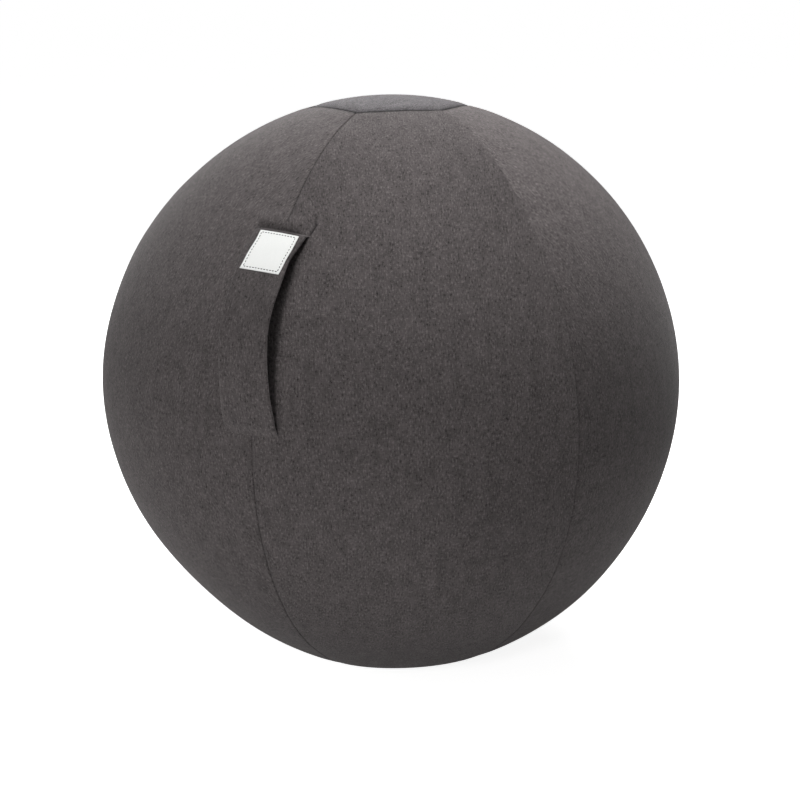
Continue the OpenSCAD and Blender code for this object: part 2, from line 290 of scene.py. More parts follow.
def roll(d, depth, width=SEAM_ROLL):
    """How far a cloth edge that is turned into a seam drops at a distance from it."""
    u = np.clip(1 - d / width, 0, 1)
    return depth * (1 - np.sqrt(np.clip(1 - u * u, 0, 1)))


def puckers(along, d, seed):
    """Small waves of the cloth beside a seam."""
    return sum(height * wave(along / length, seed + more) * np.exp(-d / reach)
               for height, length, reach, more in PUCKERS)


def slot_edge(theta):
    """Distance from the zip's seam to the edge of the slot."""
    inside = BALL_R * np.minimum(theta - ZIP_FROM, ZIP_TO - theta) + SLOT_MARGIN
    return SLOT_W / 2 * ramp(inside, -SLOT_TAPER, 0)


def uneven(out):
    """How far the cover stands off a perfect ball, in each direction."""
    height = np.zeros(out.shape[:-1])
    for az, polar, size, spread in UNEVEN:
        toward = direction(math.radians(polar), math.radians(az))
        height += bell(np.degrees(np.arccos(np.clip(out @ toward, -1, 1))), spread, size * MM)
    return height


def lean(out):
    """The top panel is sewn in a little off the ball's top, towards the zip's side."""
    theta = np.degrees(np.arccos(np.clip(out[..., 2], -1, 1)))
    share = ramp(theta, LEAN_FADES[1], LEAN_FADES[0])
    from_top = np.maximum(np.hypot(out[..., 0], out[..., 1]), 1e-9)
    within = np.minimum(1, LEAN_EDGE / from_top) * share
    moved = out.copy()
    for k, (by, by_x, by_y) in enumerate(LEAN):
        moved[..., k] += by * share + (by_x * out[..., 0] + by_y * out[..., 1]) * within
    return moved / np.linalg.norm(moved, axis=-1, keepdims=True)


def panel_reach(a, bow):
    """How far an end panel's edge lies from its middle, straight out, at an angle across it."""
    return PANEL_FLAT + bow * (1 - (a / HALF_GORE) ** 2)


def end_of_gore(a, bow=0):
    """Angle from the ball's top or bottom at which a gore ends."""
    return np.arcsin(panel_reach(a, bow) / (BALL_R * np.cos(a)))


def gore_grid(number):
    """A gore's grid: each point's angle from the gore's middle, and from the ball's top."""
    near_seam = NEAR_STRAP if number in STRAPPED else NEAR_SEAM
    start = end_of_gore(HALF_GORE)
    length = BALL_R * (math.pi - 2 * start)
    focus = []
    if number in STRAPPED:
        focus = [(BALL_R * (end - start), STRAP_FOCUS) for end in (STRAP_FROM, STRAP_TO)]
    if number in ZIPPED:
        focus = [(BALL_R * (ZIP_FROM - start) - ZIP_FOCUS_OUT, ZIP_FOCUS),
                 (BALL_R * (ZIP_TO - start) + ZIP_FOCUS_OUT, ZIP_FOCUS)]
    share = (spaced(length, NEAR_END, focus) / length)[:, None]

    def down(a):
        top = end_of_gore(a, BOWS[number - 1])
        return top + (math.pi - top - end_of_gore(a)) * share

    cols = 2 * len(near_seam) + GORE_COLUMNS - 1
    a = np.linspace(-HALF_GORE, HALF_GORE, cols) * np.ones_like(share)
    for _ in range(GRID_ROUNDS):
        theta = down(a)
        edges = []
        for side in (-1, 1):
            open_by = slot_edge(theta[:, :1]) if side == ZIPPED.get(number) else 0
            column = theta[:, :len(near_seam)] if side < 0 else theta[:, :-len(near_seam) - 1:-1]
            edges.append(HALF_GORE - np.arcsin(np.sin((open_by + near_seam) / BALL_R) / np.sin(column)))
        left, right = -edges[0], edges[1][:, ::-1]
        t = np.linspace(0, 1, GORE_COLUMNS + 1)[1:-1]
        a = np.concatenate([left, left[:, -1:] + (right[:, :1] - left[:, -1:]) * t, right], 1)
    return a, down(a)


def seam_strength(seam, theta):
    """How plainly a seam shows, from 0 to 1. Two seams fade in places."""
    down = np.degrees(theta)
    if seam == 0:
        low = 1 - ramp(down, 80, 88) * (0.42 - 0.17 * ramp(down, 92, 104))
        return low * (1 - bell(BALL_R * (theta - STRAP_FROM) + 2 * MM, 9 * MM, 0.85))
    if seam == 1:
        return 0.28 + 0.3 * ramp(down, 66, 78)
    return 1


def side_seams(number, a, theta):
    """How far a gore's cloth drops and rises beside its side seams, and the painted shade in the seams."""
    drop, rise, shade = (np.zeros_like(theta) for _ in range(3))
    for side in (-1, 1):
        seam = (number - 1 if side < 0 else number) % 6
        zipped = side == ZIPPED.get(number)
        strength = seam_strength(seam, theta)
        d = BALL_R * np.arcsin(np.clip(np.sin(theta) * np.sin(HALF_GORE - side * a), 0, 1))
        depth = SEAM_DEPTH
        if zipped:
            share_open = slot_edge(theta) / (SLOT_W / 2)
            d = np.clip(d - slot_edge(theta), 0, 1)
            depth = SEAM_DEPTH + (SLOT_DEPTH - SEAM_DEPTH) * share_open
        drop = np.maximum(drop, roll(d, depth * strength)) + bell(d, 9 * MM, 0.45 * MM) * strength
        rise = rise + puckers(BALL_R * theta, d, SIDE_SEED + seam)
        dark = SOFT_SEAM_DARK if seam == 1 or zipped else SEAM_DARK
        # Painted shade in the seam's crease.
        shade = np.maximum(shade, bell(d, 1.2 * MM, dark) * strength)
        if zipped:
            drop = drop + bell(d - TOPSTITCH_IN, 0.8 * MM, TOPSTITCH_DENT) * share_open
        if seam == 1 and side > 0:
            pressed = ramp(np.degrees(theta), 54, 38)
            rise = rise + 0.35 * MM * ramp(d, ALLOWANCE_W + 0.7 * MM, ALLOWANCE_W - 1.3 * MM) * pressed
            # Painted shade along the edge of the pressed allowance.
            shade = np.maximum(shade, bell(d - ALLOWANCE_W, 1.1 * MM, ALLOWANCE_DARK) * pressed)
    return drop, rise, shade


# Where the strap's ends are sewn down: places, heights and depths in the cloth, and how dark its painted
# shade is.
GROOVE_AT, GROOVE_TILT, GROOVE_DEPTH, GROOVE_DARK = 6 * MM, 0.13, 2.2 * MM, 0.46
WELT_ABOVE, WELT_H = 14 * MM, 1.2 * MM
CORNER_X, CORNER_UP, CORNER_DEPTH, CORNER_DARK = 31.6 * MM, 26 * MM, 1.8 * MM, 0.8
LEFT_UP, LEFT_DEPTH = 12 * MM, 0.5 * MM
LOW_WELT_BELOW, LOW_WELT_H = 5 * MM, 0.15 * MM
LOW_GROOVE_BELOW, LOW_GROOVE_DEPTH = 0.6 * MM, 0.35 * MM
LOW_CORNER_DOWN, LOW_CORNER_DEPTH = 15 * MM, 0.4 * MM


def corner_crease(x, s):
    """The crease from the strap's upper right corner, down beside the strap and up over the cover."""
    past = s + 4 * MM
    up = np.clip(-past / CORNER_UP, 0, 1)
    middle = CORNER_X + np.where(past > 0, -0.25, 0.45) * past
    strength = np.where(past > 0, 1, 0.3 * (1 - up) ** 1.5 + bell(past, 4 * MM, 0.7))
    return bell(x - middle, (1.1 + 1.9 * up) * MM) * strength * ramp(s, 10 * MM, 6 * MM)


def upper_end(x, theta):
    """The pinched cloth at the strap's upper end: how far it stands off, and its painted shade."""
    s = BALL_R * (theta - STRAP_FROM)
    line = s - GROOVE_AT - GROOVE_TILT * x
    across = ramp(x, -36 * MM, -28 * MM) * ramp(x, 23 * MM, 15 * MM)
    spread = np.where(line < 0, 5 * MM - 0.05 * x, 2.6 * MM)
    height = (bell(line + WELT_ABOVE, 7 * MM, WELT_H) - bell(line, spread, GROOVE_DEPTH)) * across
    # Painted shade in the groove and in the corner crease.
    dark = bell(line + 1.5 * MM, 4 * MM, GROOVE_DARK) * across
    corner = corner_crease(x, s)
    up = np.clip(-s / LEFT_UP, 0, 1)
    left = bell(x + STRAP_W / 2 + 1 * MM, (1.5 + 1.5 * up) * MM) * (1 - up) ** 1.5 * (s < 0.5 * MM)
    return height - CORNER_DEPTH * corner - LEFT_DEPTH * left, np.maximum(dark, CORNER_DARK * corner)


def lower_end(x, theta):
    """How far the cloth stands off at the strap's lower end, with a crease at each corner."""
    s = BALL_R * (STRAP_TO - theta)
    across = ramp(np.abs(x), STRAP_W / 2 + 5.5 * MM, STRAP_W / 2 + 1.5 * MM)
    welt = bell(s + LOW_WELT_BELOW, 3 * MM, LOW_WELT_H)
    height = (welt - bell(s + LOW_GROOVE_BELOW, 1.4 * MM, LOW_GROOVE_DEPTH)) * across
    down = np.clip(-s / LOW_CORNER_DOWN, 0, 1)
    for side in (-1, 1):
        crease = bell(x - side * (STRAP_W / 2 + 2 * MM + 4 * MM * down), (1.3 + 2 * down) * MM)
        height = height - LOW_CORNER_DEPTH * crease * (1 - down) ** 1.5 * (s < 1 * MM)
    return height


# Painted shade and painted light on the gores: how much darker each mark makes the cloth, or lighter below 0.
PAINTED_SHADE_UNDER_STRAP, PAINTED_LIGHT_BESIDE_STRAP = 0.42, -0.20
FIRST_FLANKS, FIRST_LOW_RIGHT = 0.10, 0.13
SECOND_GORE, SECOND_TOP, SECOND_RIM = 0.15, -0.40, 0.13
LAST_TOP = -0.08


def painted_light_and_shade(number, x, a, theta):
    """A gore's painted shade and painted light, by angle in degrees or distance from the strap's middle."""
    down, turn = np.degrees(theta), np.degrees(a)
    tone = np.zeros_like(theta)
    if number in STRAPPED:
        # Painted shade on the cloth under the strap, and painted light beside its right edge where its shadow
        # ends.
        at_strap = ramp(down, 54, 60) * ramp(down, 84, 78)
        tone += PAINTED_SHADE_UNDER_STRAP * ramp(np.abs(x), 25 * MM, 15 * MM) * at_strap
        tone += bell(x - 32 * MM, 8 * MM, PAINTED_LIGHT_BESIDE_STRAP) * at_strap
    # Painted shade and painted light where the light falls unevenly over gores 1, 2 and 6.
    if number == 1:
        tone += FIRST_FLANKS * ramp(np.abs(turn), 11, 21) * ramp(down, 29, 35) * ramp(down, 54, 44)
        tone += FIRST_LOW_RIGHT * ramp(turn, -4, 16) * ramp(down, 86, 100) * ramp(down, 132, 118)
    if number == 2:
        tone += SECOND_GORE + SECOND_TOP * ramp(down, 84, 40)
        tone += SECOND_RIM * ramp(turn, -12, 2) * ramp(down, 68, 78) * ramp(down, 106, 92)
    if number == 6:
        tone += LAST_TOP * ramp(down, 44, 26)
    return tone


def cover_faces(out, drop, rise, least=0.0):
    """The cloth's outer and inner face, where a regular ball's cover would lie in the directions out."""
    out = lean(out)
    swell = uneven(out)
    r = np.maximum(BALL_R - drop + rise, least) + swell
    inside = np.minimum(r - THIN, BALL_R - COVER_T + swell)
    return CENTRE + out * r[..., None], CENTRE + out * inside[..., None]


def gore(number):
    """One of the cover's six gores."""
    a, theta = gore_grid(number)
    out = direction(theta, math.radians(-90 + 60 * (number - 0.5)) + a)
    x = BALL_R * np.arcsin(out[..., 0])
    drop, rise, shade = side_seams(number, a, theta)
    low = theta > math.pi / 2
    edge = np.arcsin(panel_reach(a, BOWS[number - 1] * ~low) / BALL_R)
    d = BALL_R * (np.arcsin(np.sin(theta) * np.cos(a)) - edge)
    along_edge = BALL_R * np.sin(theta) * np.sin(a) + END_PHASE
    drop = np.maximum(drop, roll(d, SEAM_DEPTH)) + bell(d, 10 * MM, 0.5 * MM)
    rise = rise + puckers(along_edge, d, END_SEED + number) * np.where(low, LOW_PUCKERS, 1.0)
    # Painted shade in the crease of the seam to the end panel.
    shade = np.maximum(shade, bell(d, 2.7 * MM, PANEL_SEAM_DARK))
    if number in STRAPPED:
        height, dark = upper_end(x, theta)
        rise = rise + height + lower_end(x, theta)
        shade = np.maximum(shade, dark)
    # Painted light and shade on the gore's cloth.
    shade = shade + painted_light_and_shade(number, x, a, theta)
    outer, inner = cover_faces(out, drop, rise, BLADDER_R + OFF_BLADDER)
    uv = cloth_map(BALL_R * np.sin(theta) * a + GORE_UV_STEP * number, BALL_R * (math.pi / 2 - theta))
    piece = shell(f"cover_gore_{number}", outer, inner, uv, shade=shade)
    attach(piece, "root")
    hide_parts(f"gore_{number}")
    return piece


def end_panel(name, side, node):
    """A hexagonal end panel. side is 1 for the top and -1 for the bottom."""
    near = NEAR_END / PANEL_FLAT
    inner_rows = np.linspace(PANEL_FIRST, 1 - near[-1], PANEL_ROWS)[:-1]
    shares = np.concatenate([inner_rows, (1 - near)[::-1]])[:, None]
    sector = np.repeat(np.arange(6), PANEL_COLUMNS)[None, :]
    local = np.tile(np.linspace(-HALF_GORE, HALF_GORE, PANEL_COLUMNS, endpoint=False), 6)[None, :]
    az = np.radians(-60 + 60 * sector) + local
    reach = panel_reach(local, BOWS[sector] * (side > 0))
    plan = shares * reach / np.cos(local)
    theta = np.arcsin(plan / BALL_R)
    d = BALL_R * (np.arcsin(reach / BALL_R) - np.arcsin(plan * np.cos(local) / BALL_R))
    # Painted shade in the crease round the panel's edge, darker and wider on the top panel.
    if side > 0:
        hollow = bell(d, 7 * MM, 1.2 * MM)
        shade = np.maximum(bell(d, 4.2 * MM, 0.95), bell(d, 8.5 * MM, 0.42))
    else:
        hollow = bell(d, 10 * MM, 0.5 * MM)
        shade = bell(d, 2.1 * MM, 0.82)
    corner = bell(np.abs(local) - HALF_GORE, math.radians(9)) * np.exp(-d / (12 * MM))
    drop = roll(d, SEAM_DEPTH) + hollow + 0.25 * MM * corner
    rise = np.zeros_like(drop)
    for k in range(6):
        waves = puckers(plan * np.sin(local) + END_PHASE, d, END_SEED + 1 + k)
        rise = rise + (sector == k) * waves * (1 if side > 0 else LOW_PUCKERS)
    outer, inner = cover_faces(direction(theta, az, side), drop, rise)
    if side < 0:
        for points, floor_z in ((outer, FLOOR_GAP), (inner, FLOOR_GAP + COVER_T)):
            above = points[..., 2] - floor_z
            points[..., 2] = floor_z + (above + np.sqrt(above ** 2 + FLOOR_ROUND ** 2)) / 2
    away = BALL_R * theta
    uv = cloth_map(away * np.cos(az) + PANEL_UV_STEP * (1 + (side < 0)), away * np.sin(az))
    piece = dome(name, outer, inner, uv, shade, side < 0)
    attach(piece, "root")
    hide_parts(node)
    return piece


# The strap. Its ends dive under the cover's face, each over its own length, to the radius of its foot.
UPPER_DIVE = 7 * MM
LOWER_DIVE = 14 * MM
UPPER_FOOT_R = 0.3226
LOWER_FOOT_R = 0.3249
END_T = 0.5 * MM
LEAST_T = 0.25 * MM
SLEEVE_T = 0.8 * MM
CROWN = 0.35 * MM
MIDDLE_HALF_W, END_HALF_W_MORE = 26.4 * MM, 2.6 * MM
STRAP_STEP = 2.2 * MM
TUCKED = 0.8 * MM
ACROSS_STEPS = 27
ROUND_STEPS = 7
CORE_IN = 9 * MM
CORE_UNDER = 0.9 * MM
SLEEVE_UV = 5.2
HEM_UV = 6
HEM_LINES = np.array([6.5, 6.9, 7.3, 7.8, 8.4, 9.0, 9.7, 10.4, 11.2, 11.8, 12.0])[:, None] * MM
HEM_HALF_W = 25 * MM

# The upper end is sewn on askew and a little high, and the strap bends sideways in places, each with a place
# and width in degrees and a size in mm.
SKEW = 0.10
HIGHER = 2.2 * MM
SKEW_FADES = 110 * MM
SIDEWAYS = ((56.2, 2.3, -2.1), (61.8, 1.8, 0.4), (68, 3.5, -1.1))

# How dark the sleeve's painted shade is at its upper end, under the pinched cloth, and how much darker the
# sleeve is over its upper half and lighter at its left edge.
SLEEVE_END_PAINTED_SHADE, SLEEVE_UPPER_DARK, SLEEVE_EDGE_LIGHT = 0.6, 0.27, -0.24


def word(upper):
    return "upper" if upper else "lower"


def near_end(theta):
    """Distance along the strap to its nearer end."""
    return np.minimum(BALL_R * (theta - STRAP_FROM), BALL_R * (STRAP_TO - theta))


def arch(theta):
    """How far the strap rises off the cover."""
    share = np.clip((theta - STRAP_FROM) / (STRAP_TO - STRAP_FROM), 0, 1)
    return STRAP_RISE * np.sin(math.pi * share) ** 1.3


def dive(theta):
    """1 along the strap, falling to 0 where its ends are sewn into the cover."""
    upper = ramp(BALL_R * (theta - STRAP_FROM) - 5 * MM, 0, UPPER_DIVE)
    return upper * ramp(BALL_R * (STRAP_TO - theta) + 1 * MM, 0, LOWER_DIVE)


def strap_face(x, theta, wrinkle=True):
    """Radius of the strap's outer face before its crown."""
    full = dive(theta)
    sag = (BALL_R - np.sqrt(BALL_R ** 2 - x ** 2)) * ramp(near_end(theta), 34 * MM, 0)
    foot = np.where(theta < GRIP_AT, UPPER_FOOT_R, LOWER_FOOT_R)
    r = foot + (STRAP_SEAT + STRAP_T - foot) * full + arch(theta) - sag
    if wrinkle:
        r = r + 0.16 * MM * wave(BALL_R * theta / (9 * MM) + x / (40 * MM), 71) * full
        r = r + 0.10 * MM * wave(x / (7 * MM), 72) * np.exp(-near_end(theta) / (16 * MM))
    return r


def crown(x, theta, half=STRAP_W / 2):
    """How far the strap's face stands up along its middle."""
    return CROWN * (1 - (x / half) ** 2) * dive(theta)


def strap_thick(theta):
    return END_T + (STRAP_T - END_T) * dive(theta)


def on_strap(x, theta, r):
    """Points of the strap, as it is sewn on."""
    x, theta, r = np.broadcast_arrays(x, theta, r)
    at = np.degrees(theta)
    theta = theta + bell(BALL_R * (theta - STRAP_FROM), SKEW_FADES, (SKEW * x - HIGHER) / BALL_R)
    for middle, width, by in SIDEWAYS:
        x = x + bell(at - middle, width, by * MM)
    return CENTRE + np.stack([x, -r * np.sin(theta), r * np.cos(theta)], -1)


def strap_rows(upper, back):
    """Angles along half of the strap, from a distance back within its sewn end to its middle."""
    near = np.array([0, 0.4, 0.9, 1.5, 2.2, 3, 4, 5, 6.2, 7.5, 9]) * MM
    half = BALL_R * (STRAP_TO - STRAP_FROM) / 2 - back
    rest = np.linspace(near[-1], half, int((half - near[-1]) / STRAP_STEP) + 1)[1:]
    s = back + np.concatenate([near, rest])
    if back == 0:
        s[0] -= TUCKED
    return STRAP_FROM + s / BALL_R if upper else STRAP_TO - s / BALL_R


def blend_strap(piece):
    """Bakes the piece's transform into its mesh."""
    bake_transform(piece)


def half_width(theta):
    """The strap is a little wider at its sewn ends than in its middle."""
    return MIDDLE_HALF_W + bell(near_end(theta), 45 * MM, END_HALF_W_MORE)


def band(upper, width, under=0, back=0):
    """Half of the strap as a flat tube, under its faces: angle, x, radius and thickness."""
    theta = strap_rows(upper, back)[:, None]
    half = width / 2
    side = np.linspace(math.pi / 2, -math.pi / 2, ROUND_STEPS)
    flat = np.linspace(-1, 1, ACROSS_STEPS + 2)[1:-1]
    ones, zeros = np.ones(ACROSS_STEPS), np.zeros(ACROSS_STEPS)
    t_x = np.concatenate([flat, np.ones(ROUND_STEPS), flat[::-1], -np.ones(ROUND_STEPS)])
    t_h = np.concatenate([ones, np.sin(side), -ones, np.sin(side[::-1])])
    bulge = np.concatenate([zeros, np.cos(side), zeros, -np.cos(side[::-1])])
    thick = np.maximum(strap_thick(theta) - 2 * under, LEAST_T)
    edge = np.minimum(thick / 2, half / 4)
    x = (half + half_width(theta) - STRAP_W / 2 - edge) * t_x + edge * bulge
    face = strap_face(x, theta) - under + crown(x, theta, half)
    return theta, x, face - thick / 2 + thick / 2 * t_h, thick


def sleeve(upper):
    """The cloth tube round one half of the strap."""
    theta, x, r, thick = band(upper, STRAP_W)
    wall = np.minimum(SLEEVE_T, 0.42 * thick)
    middle = strap_face(x, theta) + crown(x, theta) - thick / 2
    outer = on_strap(x, theta, r)
    inner = on_strap(x * (1 - wall / (STRAP_W / 2)), theta, middle + (r - middle) * (1 - wall / (thick / 2)))
    s, down = BALL_R * (theta - STRAP_FROM), np.degrees(theta)
    # Painted shade at the upper end, under the pinched cloth.
    shade = SLEEVE_END_PAINTED_SHADE * ramp(s, 14 * MM, 10.5 * MM) * ramp(x, 22 * MM, 15 * MM)
    shade = np.maximum(shade, SLEEVE_UPPER_DARK * ramp(down, 72, 62))
    low_half = ramp(down, 67, 71) * ramp(down, 84.5, 82.5)
    shade = shade + bell(x - x.min(1, keepdims=True), 1.6 * MM, SLEEVE_EDGE_LIGHT) * low_half
    if upper:
        outer, inner, shade = outer[:, ::-1], inner[:, ::-1], shade[:, ::-1]
    uv = cloth_map(outer[..., 0] + SLEEVE_UV, -BALL_R * theta)
    piece = shell(f"strap_sleeve_{word(upper)}", outer, inner, uv, True, shade)
    nodes = ["strap_upper_leg", "strap_grip"] if upper else ["strap_lower_leg"]
    blend_strap(piece)
    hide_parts(*nodes)
    return piece


def core(upper):
    """The webbing inside one half of the strap."""
    theta, x, r, _ = band(upper, CORE_W, CORE_UNDER, CORE_IN)
    points = on_strap(x, theta, r)
    if upper:
        points = points[:, ::-1]
    uv = cloth_map(points[..., 0], -BALL_R * theta).reshape(-1, 2)
    piece = new_object(f"strap_webbing_{word(upper)}", points.reshape(-1, 3),
                       closed_tube(*points.shape[:2]), uv)
    nodes = ["upper_leg_core", "grip_core"] if upper else ["lower_leg_core"]
    blend_strap(piece)
    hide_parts(*nodes)
    return piece


def hem(upper):
    """The folded end of the sleeve that lies on the cover under the strap's end."""
    if upper:
        s = 9.6 * MM + (HEM_LINES - HEM_LINES[0]) * 0.6
    else:
        s = HEM_LINES + np.linspace(1, 0, len(HEM_LINES))[:, None] * MM
    theta = STRAP_FROM + s / BALL_R if upper else STRAP_TO - s / BALL_R
    x = np.linspace(-HEM_HALF_W, HEM_HALF_W, 31)[None, :]
    on_ball = np.sqrt(BALL_R ** 2 - x ** 2)
    round_end = 0.55 * MM * np.sqrt(1 - np.clip((s - 10.6 * MM) / (1.5 * MM), 0, 1) ** 2)
    under = strap_face(x, theta, False) - strap_thick(theta) - 0.25 * MM
    low = on_ball + 0.05 * MM
    high = np.maximum(np.minimum(under, on_ball + 0.65 * MM + round_end), low + 0.15 * MM)
    outer, inner = on_strap(x, theta, high), on_strap(x, theta, low)
    uv = cloth_map(x + HEM_UV, -BALL_R * theta)
    if not upper:
        outer, inner, uv = outer[::-1], inner[::-1], uv[::-1]
    piece = shell(f"strap_hem_{word(upper)}", outer, inner, uv)
    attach(piece, "root")
    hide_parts(f"{word(upper)}_hem")
    return piece


# The label and every sewn stitch.
LABEL_T = 0.65 * MM
LABEL_OFF = 0.05 * MM
LABEL_BACK = 0.04 * MM
STITCH_IN = 2.7 * MM
STITCH_PITCH = 3.3 * MM
STITCH_L = 2.4 * MM
STITCH_R = 0.44 * MM
STITCH_POINTS = 6
STITCH_SIDES = 8
STITCH_FLAT = 0.6
STITCH_UP = 0.12 * MM


def laid(x, s):
    """The label is stiffer than the strap and keeps its sides straight."""
    share = np.clip(s / LABEL_H, 0, 1)
    return x + 0.3 * MM - 0.9 * MM * share ** 2 + 2.3 * MM * np.sin(math.pi * share ** 1.35)


def label_face(x, s):
    """The label's outer face, as an angle from the ball's top and a radius. s is down from its top edge."""
    theta = STRAP_FROM + (LABEL_DROP + s) / BALL_R
    edge = np.minimum(np.minimum(LABEL_W / 2 - abs(x - LABEL_SHIFT), s), LABEL_H - s)
    pillow = LABEL_T * (1 - roll(edge, 0.45, 1 * MM))
    dent = bell(edge - STITCH_IN, 0.7 * MM, 0.16 * MM)
    return theta, strap_face(x, theta) + crown(x, theta) + LABEL_OFF + pillow - dent


def label():
    near = np.array([0, 0.15, 0.4, 0.75, 1.1, 1.6, 2.1, 2.5, 2.9, 3.4, 4.2]) * MM

    def lines(size):
        return np.concatenate([near, np.linspace(near[-1], size - near[-1], 24)[1:-1], size - near[::-1]])

    s = lines(LABEL_H)[:, None]
    x = (lines(LABEL_W) - LABEL_W / 2 + LABEL_SHIFT)[None, ::-1]
    theta, r = label_face(x, s)
    low = strap_face(x, theta) + crown(x, theta) + LABEL_BACK
    outer, inner = (on_strap(laid(x, s), theta, face)[:, ::-1] for face in (r, low))
    piece = shell("blank_label", outer, inner, cloth_map(x, -s)[:, ::-1])
    blend_strap(piece)
    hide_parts("label")
    return piece


def stitch(points, normals, radius):
    """A sewn stitch: a tapered tube along a few points, whose ends sink into the cloth."""
    rings = []
    count = len(points)
    turn = np.linspace(0, 2 * math.pi, STITCH_SIDES, endpoint=False)[:, None]
    for i, (p, n) in enumerate(zip(points, normals)):
        ahead = points[min(i + 1, count - 1)] - points[max(i - 1, 0)]
        side = np.cross(ahead / np.linalg.norm(ahead), n)
        t = 2 * i / (count - 1) - 1
        size = radius * math.sqrt(max(0.06, 1 - t ** 4))
        sink = -0.9 * radius * t ** 4
        rings.append(p + sink * n + size * (np.cos(turn) * side + STITCH_FLAT * np.sin(turn) * n))
    return np.array(rings)


def stitches(name, lines, radius):
    """One mesh of many stitches. Each line is (points, normals)."""
    verts, faces = [], []
    for points, normals in lines:
        rings = stitch(points, normals, radius)
        faces += closed_tube(*rings.shape[:2], len(verts))
        verts += rings.reshape(-1, 3).tolist()
    return new_object(name, np.array(verts), faces)


def label_stitches():
    """A running stitch round the label's border."""
    w, h = LABEL_W - 2 * STITCH_IN, LABEL_H - 2 * STITCH_IN
    lines = []
    for x0, s0, dx, ds, size in ((-w / 2, 0, 1, 0, w), (w / 2, 0, 0, 1, h), (w / 2, h, -1, 0, w),
                                 (-w / 2, h, 0, -1, h)):
        count = int(round(size / STITCH_PITCH))
        for i in range(count):
            run = (i + 0.5) * size / count - STITCH_L / 2 + np.linspace(0, STITCH_L, STITCH_POINTS)
            x = x0 + dx * run + LABEL_SHIFT
            s = STITCH_IN + s0 + ds * run
            theta, r = label_face(x, s)
            normals = np.stack([0 * x, -np.sin(theta), np.cos(theta)], -1)
            lines.append((on_strap(laid(x, s), theta, r + STITCH_UP), normals))
    piece = stitches("label_stitching", lines, STITCH_R)
    blend_strap(piece)
    return piece


# The zip.
TAPE_ROWS = 190
TOPSTITCH_PITCH = 3.6 * MM
TOPSTITCH_L = 2.5 * MM
TOPSTITCH_R = 0.26 * MM
TOPSTITCH_SUNK = 0.55 * MM

# Softening the rigid solids' edges.
WELD = 1e-6
FLAT_ANGLE, BEVEL_ANGLE, SHARP_ANGLE = (math.radians(angle) for angle in (2, 28, 35))


def on_zip(x, theta, r):
    """Points on the zip's side of the ball. x is the distance from the seam."""
    off = x / BALL_R
    out = np.broadcast_arrays(np.sin(off), np.cos(off) * np.sin(theta), np.cos(off) * np.cos(theta))
    return CENTRE + np.asarray(r)[..., None] * np.stack(out, -1)


def zip_tape(side, hand):
    over = TAPE_OVER / BALL_R
    theta = np.linspace(ZIP_FROM - over, ZIP_TO + over, TAPE_ROWS)[:, None]
    places = np.append(np.array([0, 0.3, 0.8, 1.4, 2, 2.6, 3.4, 4.5, 6, 8, 10.5, 13]) * MM, TAPE_W)
    x = side * (TAPE_EDGE + places)[None, :]
    outer, inner = on_zip(x, theta, TAPE_R), on_zip(x, theta, TAPE_R - TAPE_T)
    uv = cloth_map(x, -BALL_R * theta)
    if side < 0:
        outer, inner, uv = outer[:, ::-1], inner[:, ::-1], uv[:, ::-1]
    piece = shell(f"tape_{hand}", outer[::-1], inner[::-1], uv[::-1])
    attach(piece, "root")
    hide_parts(f"zip_tape_{hand}")
    return piece


def zip_stitching():
    """Two rows of topstitching that hold the tapes to the cover."""
    lines = []
    for side in (-1, 1):
        for i in range(int(BALL_R * (ZIP_TO - ZIP_FROM) / TOPSTITCH_PITCH)):
            along = i * TOPSTITCH_PITCH + np.linspace(0, TOPSTITCH_L, STITCH_POINTS)
            theta = ZIP_FROM + along / BALL_R
            x = side * (SLOT_W / 2 + TOPSTITCH_IN)
            r = BALL_R - TOPSTITCH_SUNK + puckers(BALL_R * theta, TOPSTITCH_IN, SIDE_SEED + ZIP_SEAM)
            points = on_zip(x, theta, r)
            normals = (points - CENTRE) / np.linalg.norm(points - CENTRE, axis=1)[:, None]
            lines.append((points, normals))
    piece = stitches("zip_topstitching", lines, TOPSTITCH_R)
    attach(piece, "root")
    return piece


def bevelled(node, body, name, width, segments, slot):
    """A copy of a rigid CAD solid with softened edges, in its place."""
    bm = bmesh.new()
    bm.from_mesh(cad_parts[node].data)
    bmesh.ops.remove_doubles(bm, verts=bm.verts, dist=WELD)
    bmesh.ops.dissolve_limit(bm, angle_limit=FLAT_ANGLE, verts=bm.verts, edges=bm.edges)
    edges = [e for e in bm.edges if len(e.link_faces) == 2 and e.calc_face_angle(0) > BEVEL_ANGLE]
    bmesh.ops.bevel(bm, geom=edges, offset=width, segments=segments, affect="EDGES",
                    clamp_overlap=True, profile=0.5)
    bmesh.ops.triangulate(bm, faces=[f for f in bm.faces if len(f.verts) > 4])
    mesh = bpy.data.meshes.new(name)
    bm.to_mesh(mesh)
    bm.free()
    mesh.polygons.foreach_set("use_smooth", [True] * len(mesh.polygons))
    mesh.set_sharp_from_angle(angle=SHARP_ANGLE)
    piece = linked(name, mesh)
    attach(piece, body)
    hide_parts(node)
    return piece


# The bladder. It lies a little deeper away from its valve.
BLADDER_DEEPER = 1.1 * MM
BLADDER_LEVEL = (30 * MM, 50 * MM)
BLADDER_END = 0.02
MOULD_SEAM_H = 0.25 * MM
MOULD_SEAM_W = 4 * MM
BLADDER_ROWS = 96
BLADDER_COLUMNS = 128
BLADDER_FLOOR = 2 * MM


